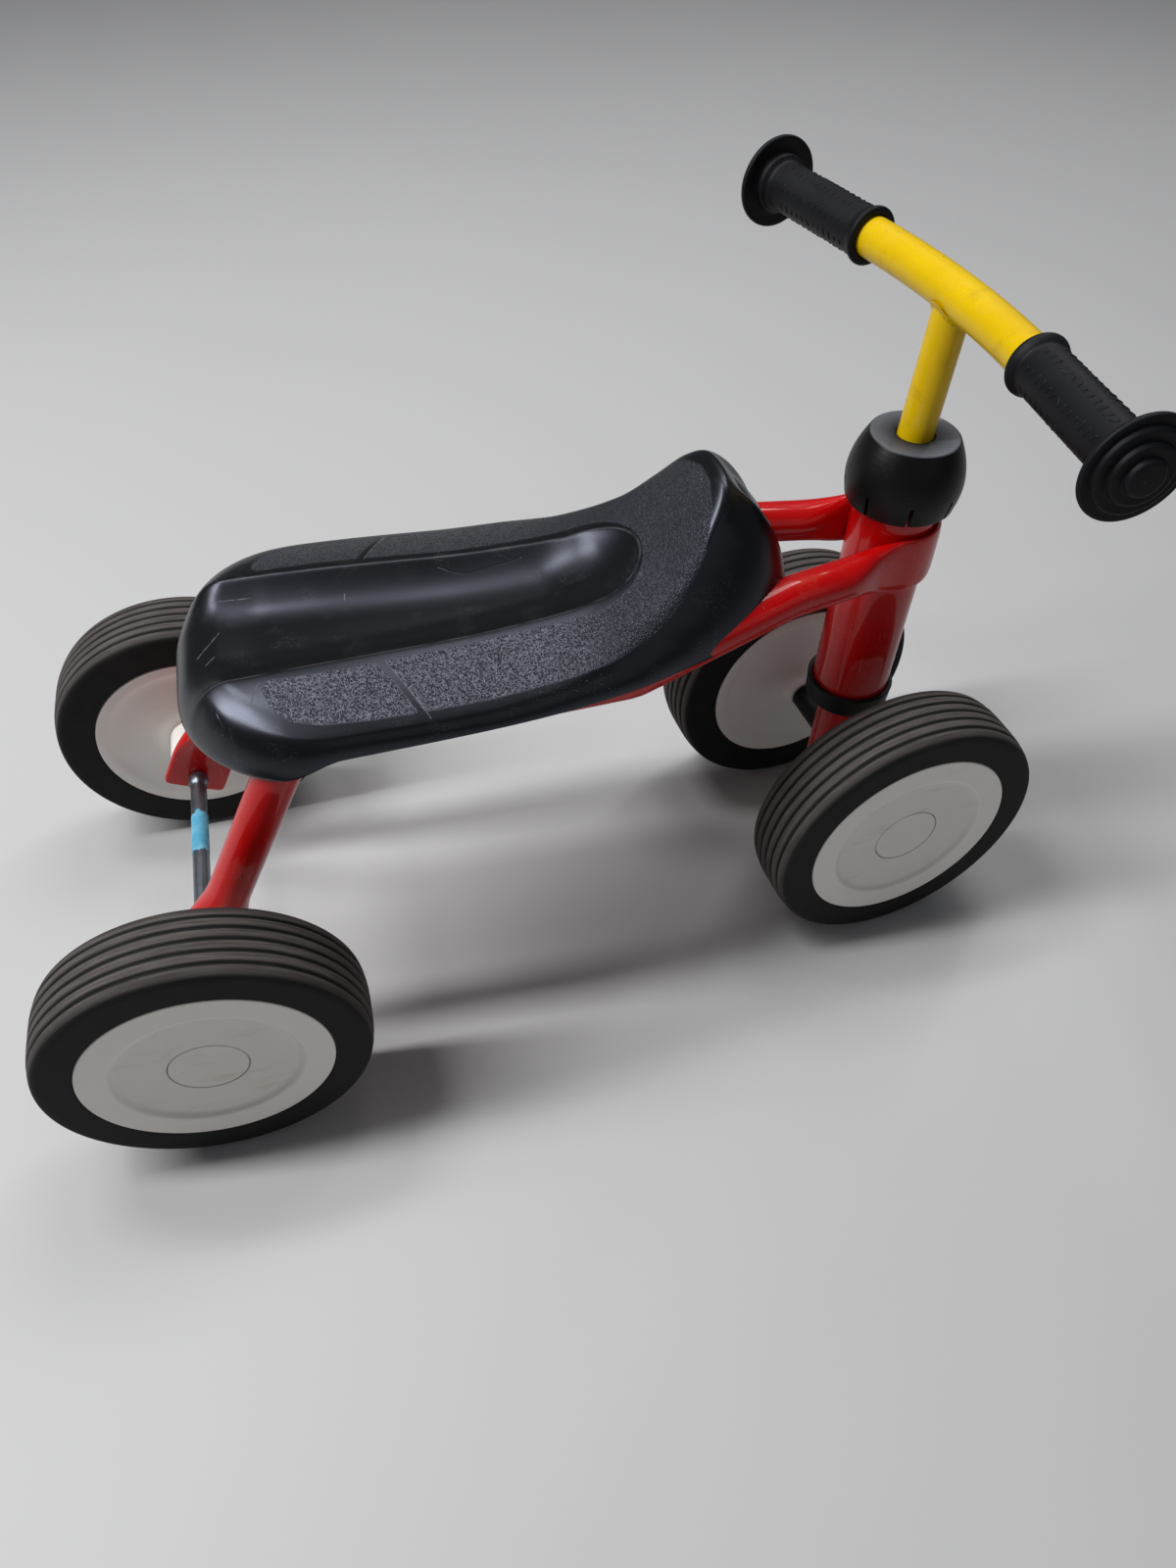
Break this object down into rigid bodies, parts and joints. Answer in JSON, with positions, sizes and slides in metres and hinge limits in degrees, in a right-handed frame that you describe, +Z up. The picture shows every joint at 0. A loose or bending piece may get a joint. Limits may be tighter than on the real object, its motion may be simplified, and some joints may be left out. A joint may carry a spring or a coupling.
{
  "type": "toddler ride-on bike",
  "caption": "Low ride-on bike for toddlers: bent tube frame, moulded saddle with trough and front hump, steered front axle under a T-shaped bar, ribbed wheels.",
  "frame": {"origin": "on the ground, under the middle of the overall length and width", "axes": "+X forward, +Y to the rider's left, +Z up"},
  "size_m": [0.5482, 0.3007, 0.3752],
  "materials": {
    "red_paint": "glossy red enamel",
    "yellow_paint": "glossy yellow enamel, chipped",
    "black_plastic": "satin moulded black, pebbled grain on the seat panels",
    "matte_black_plastic": "matt black",
    "white_plastic": "off-white, slightly soiled",
    "grip_rubber": "matt black rubber",
    "tyre_rubber": "worn ribbed tread, brown-grey",
    "zinc_steel": "zinc plated"
  },
  "bodies": {
    "frame": {"frame_tube": "red_paint", "rear_seat_strap": "red_paint", "front_seat_strap": "red_paint", "saddle_shell": "black_plastic", "saddle_screw_1": "zinc_steel", "saddle_screw_2": "zinc_steel", "saddle_screw_3": "zinc_steel", "saddle_screw_4": "zinc_steel", "head_tube": "red_paint", "bearing_cup": "matte_black_plastic", "lower_steering_bush": "matte_black_plastic", "upper_steering_bush": "matte_black_plastic", "rear_axle": "zinc_steel", "rear_washer_left": "zinc_steel", "rear_washer_right": "zinc_steel", "rear_spacer_left": "white_plastic", "rear_spacer_right": "white_plastic", "rear_left_axle_nut": "zinc_steel", "rear_right_axle_nut": "zinc_steel"},
    "steering": {"steering_column": "red_paint", "handlebar_stem": "yellow_paint", "clamp_bolt": "zinc_steel", "handlebar_tube": "yellow_paint", "head_cap": "matte_black_plastic", "grip_left": "grip_rubber", "grip_right": "grip_rubber", "front_axle": "zinc_steel", "front_spacer_left": "matte_black_plastic", "front_spacer_right": "matte_black_plastic", "front_left_axle_nut": "zinc_steel", "front_right_axle_nut": "zinc_steel"},
    "front_left_wheel": {"front_left_tyre": "tyre_rubber", "front_left_rim": "white_plastic", "front_left_hub_cap": "white_plastic", "front_left_bush": "matte_black_plastic"},
    "front_right_wheel": {"front_right_tyre": "tyre_rubber", "front_right_rim": "white_plastic", "front_right_hub_cap": "white_plastic", "front_right_bush": "matte_black_plastic"},
    "rear_left_wheel": {"rear_left_tyre": "tyre_rubber", "rear_left_rim": "white_plastic", "rear_left_hub_cap": "white_plastic", "rear_left_bush": "matte_black_plastic"},
    "rear_right_wheel": {"rear_right_tyre": "tyre_rubber", "rear_right_rim": "white_plastic", "rear_right_hub_cap": "white_plastic", "rear_right_bush": "matte_black_plastic"}
  },
  "joints": [
    {"name": "steering", "type": "hinge", "parent": "frame", "child": "steering", "pos_m": [0.18684, 0, 0.08], "axis": [0.0279, 0, 0.9996], "range_deg": [-45, 35]},
    {"name": "front_left_wheel_spin", "type": "hinge", "parent": "steering", "child": "front_left_wheel", "pos_m": [0.1805, 0.06831, 0.08018], "axis": [-0.0923, 0.9957, 0.0026], "continuous": true},
    {"name": "front_right_wheel_spin", "type": "hinge", "parent": "steering", "child": "front_right_wheel", "pos_m": [0.19317, -0.06831, 0.07982], "axis": [-0.0923, 0.9957, 0.0026], "continuous": true},
    {"name": "rear_left_wheel_spin", "type": "hinge", "parent": "frame", "child": "rear_left_wheel", "pos_m": [-0.19466, 0.11665, 0.08], "axis": [0, 1, 0], "continuous": true},
    {"name": "rear_right_wheel_spin", "type": "hinge", "parent": "frame", "child": "rear_right_wheel", "pos_m": [-0.19466, -0.11665, 0.08], "axis": [0, 1, 0], "continuous": true}
  ]
}
